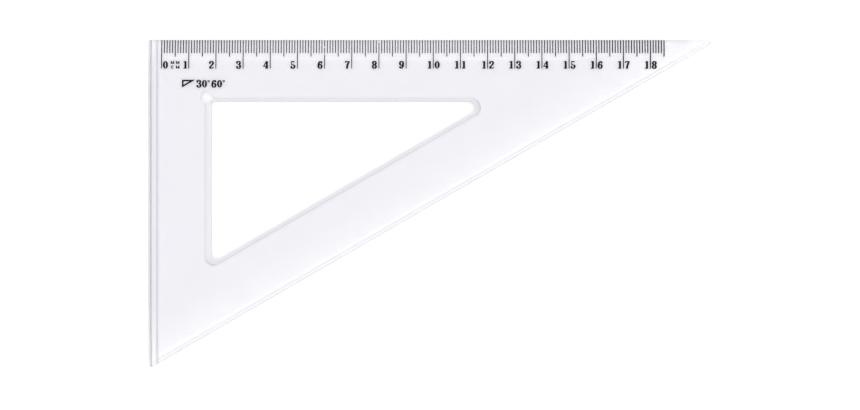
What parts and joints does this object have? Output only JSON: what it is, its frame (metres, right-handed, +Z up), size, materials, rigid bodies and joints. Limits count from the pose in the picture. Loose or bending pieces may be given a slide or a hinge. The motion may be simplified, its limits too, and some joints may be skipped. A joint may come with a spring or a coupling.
{
  "type": "set square",
  "caption": "Clear plastic 30/60/90 set square: a thin triangular plate with a triangular cut-out, a hang hole, a bevelled long edge and a printed centimetre scale.",
  "frame": {"origin": "middle of the plate's bounding box, on the flat underside it lies on", "axes": "+X along the graduated long leg, from the right angle towards the 30 degree tip; +Y across the plate towards the graduated edge; +Z up out of the printed face"},
  "size_m": [0.2072, 0.1206, 0.0022],
  "materials": {
    "clear_plastic": "clear, polished, slightly cool",
    "black_ink": "printed black ink, satin"
  },
  "bodies": {
    "root": {"centimetre_lines_00": "black_ink", "centimetre_lines_01": "black_ink", "centimetre_lines_02": "black_ink", "centimetre_lines_03": "black_ink", "centimetre_lines_04": "black_ink", "centimetre_lines_05": "black_ink", "centimetre_lines_06": "black_ink", "centimetre_lines_07": "black_ink", "centimetre_lines_08": "black_ink", "centimetre_lines_09": "black_ink", "centimetre_lines_10": "black_ink", "centimetre_lines_11": "black_ink", "centimetre_lines_12": "black_ink", "centimetre_lines_13": "black_ink", "centimetre_lines_14": "black_ink", "centimetre_lines_15": "black_ink", "centimetre_lines_16": "black_ink", "centimetre_lines_17": "black_ink", "centimetre_lines_18": "black_ink", "mark_angle_30_degree": "black_ink", "mark_angle_30_tens": "black_ink", "mark_angle_30_units": "black_ink", "mark_angle_60_degree": "black_ink", "mark_angle_60_tens": "black_ink", "mark_angle_60_units": "black_ink", "mark_triangle": "black_ink", "numeral_0": "black_ink", "numeral_1": "black_ink", "numeral_10_tens": "black_ink", "numeral_10_units": "black_ink", "numeral_11_tens": "black_ink", "numeral_11_units": "black_ink", "numeral_12_tens": "black_ink", "numeral_12_units": "black_ink", "numeral_13_tens": "black_ink", "numeral_13_units": "black_ink", "numeral_14_tens": "black_ink", "numeral_14_units": "black_ink", "numeral_15_tens": "black_ink", "numeral_15_units": "black_ink", "numeral_16_tens": "black_ink", "numeral_16_units": "black_ink", "numeral_17_tens": "black_ink", "numeral_17_units": "black_ink", "numeral_18_tens": "black_ink", "numeral_18_units": "black_ink", "numeral_2": "black_ink", "numeral_3": "black_ink", "numeral_4": "black_ink", "numeral_5": "black_ink", "numeral_6": "black_ink", "numeral_7": "black_ink", "numeral_8": "black_ink", "numeral_9": "black_ink", "plate": "clear_plastic", "unit_cm_first_letter": "black_ink", "unit_cm_second_letter": "black_ink", "unit_mm_first_letter": "black_ink", "unit_mm_second_letter": "black_ink"}
  },
  "joints": []
}
